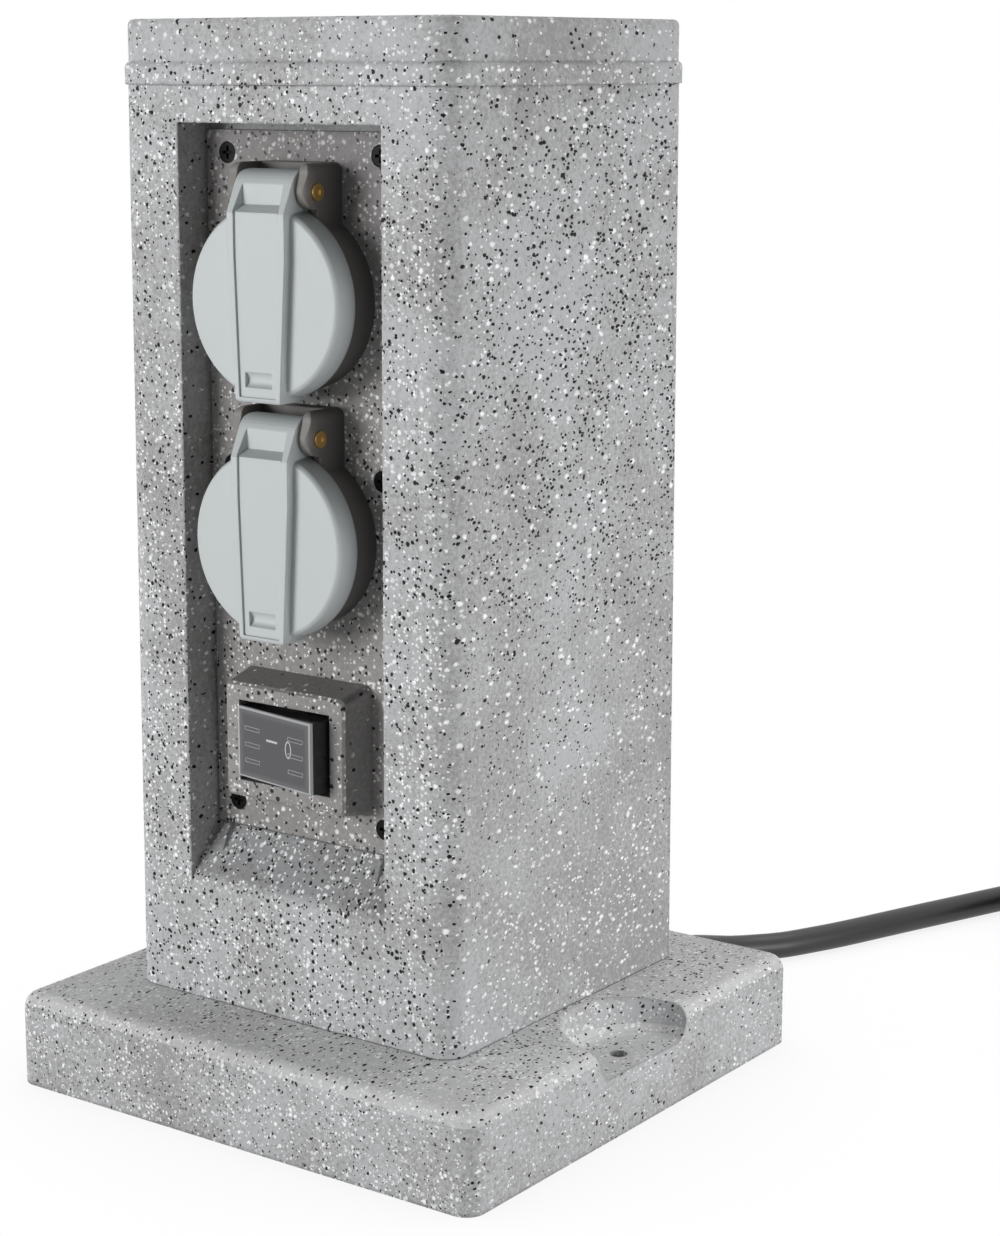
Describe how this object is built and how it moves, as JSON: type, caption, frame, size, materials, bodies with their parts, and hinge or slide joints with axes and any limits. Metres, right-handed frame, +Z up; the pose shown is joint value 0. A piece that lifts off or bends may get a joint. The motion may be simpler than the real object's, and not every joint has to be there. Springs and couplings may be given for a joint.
{
  "type": "garden socket post",
  "caption": "Square garden power column on a wide foot, with two lidded earthed sockets and a rocker switch in a recess, and a rubber mains lead with a plug",
  "frame": {"origin": "middle of the foot's underside, on the ground, leaving out the free lead, its coil and its plug", "axes": "+Z up; the sockets and the switch face -Y; +X is to the right of someone who faces the sockets; the lead leaves the back of the foot, at +Y"},
  "size_m": [0.2827, 0.3843, 0.3],
  "materials": {
    "granite": "light grey plastic with a granite effect: dense white and black specks and soft darker patches",
    "panel": "warm grey plastic with sparse light and dark specks",
    "insert": "dark grey plastic, matt",
    "lid": "pale green-grey satin plastic",
    "seal": "soft dark grey rubber",
    "black_plastic": "black plastic, half matt",
    "clear_cover": "grey see-through soft plastic",
    "black_screw": "blackened steel",
    "steel": "plain bright steel",
    "brass": "plain brass",
    "back_box": "dark grey moulded plastic",
    "terminal": "off-white plastic",
    "wire_brown": "brown insulation",
    "wire_blue": "blue insulation",
    "wire_green": "green and yellow insulation",
    "rubber": "black rubber, half matt"
  },
  "bodies": {
    "column": {"plinth": "granite", "plinth_screws": "steel", "post": "granite", "cap": "granite", "socket_panel": "panel", "panel_screws": "black_screw", "upper_socket_housing": "panel", "lower_socket_housing": "panel", "upper_socket_insert": "insert", "lower_socket_insert": "insert", "upper_ring_nut": "insert", "lower_ring_nut": "insert", "upper_contacts": "brass", "lower_contacts": "brass", "upper_earth_clip": "brass", "lower_earth_clip": "brass", "upper_hinge_pin": "brass", "lower_hinge_pin": "brass", "upper_lid_spring": "steel", "lower_lid_spring": "steel", "switch_housing": "panel", "switch_body": "black_plastic", "switch_terminals": "brass", "rear_cover": "back_box", "cover_seal": "seal", "cover_screws": "steel", "terminal_block": "terminal", "live_wires": "wire_brown", "neutral_wires": "wire_blue", "earth_wires": "wire_green", "cover_gland": "black_plastic", "inner_lead": "rubber", "cord_sleeve": "rubber", "supply_cord": "rubber", "cord_coil": "rubber", "plug_body": "rubber", "plug_pins": "steel", "plug_earth_strips": "steel"},
    "upper_lid_body": {"upper_lid": "lid", "upper_lid_seal": "seal"},
    "lower_lid_body": {"lower_lid": "lid", "lower_lid_seal": "seal"},
    "rocker_body": {"switch_rocker": "black_plastic", "rocker_cover": "clear_cover"}
  },
  "joints": [
    {"name": "upper_lid_hinge", "type": "hinge", "parent": "column", "child": "upper_lid_body", "pos_m": [0, -0.056, 0.2559], "axis": [-1, 0, 0], "range_deg": [0, 110], "stiffness_Nm_per_rad": 0.01, "springref_deg": -40.11, "deforming": ["upper_lid_spring"]},
    {"name": "lower_lid_hinge", "type": "hinge", "parent": "column", "child": "lower_lid_body", "pos_m": [0, -0.056, 0.1919], "axis": [-1, 0, 0], "range_deg": [0, 90], "stiffness_Nm_per_rad": 0.01, "springref_deg": -40.11, "deforming": ["lower_lid_spring"]},
    {"name": "rocker_hinge", "type": "hinge", "parent": "column", "child": "rocker_body", "pos_m": [0, -0.0558, 0.1066], "axis": [0, 0, 1], "range_deg": [0, 19.4]}
  ]
}
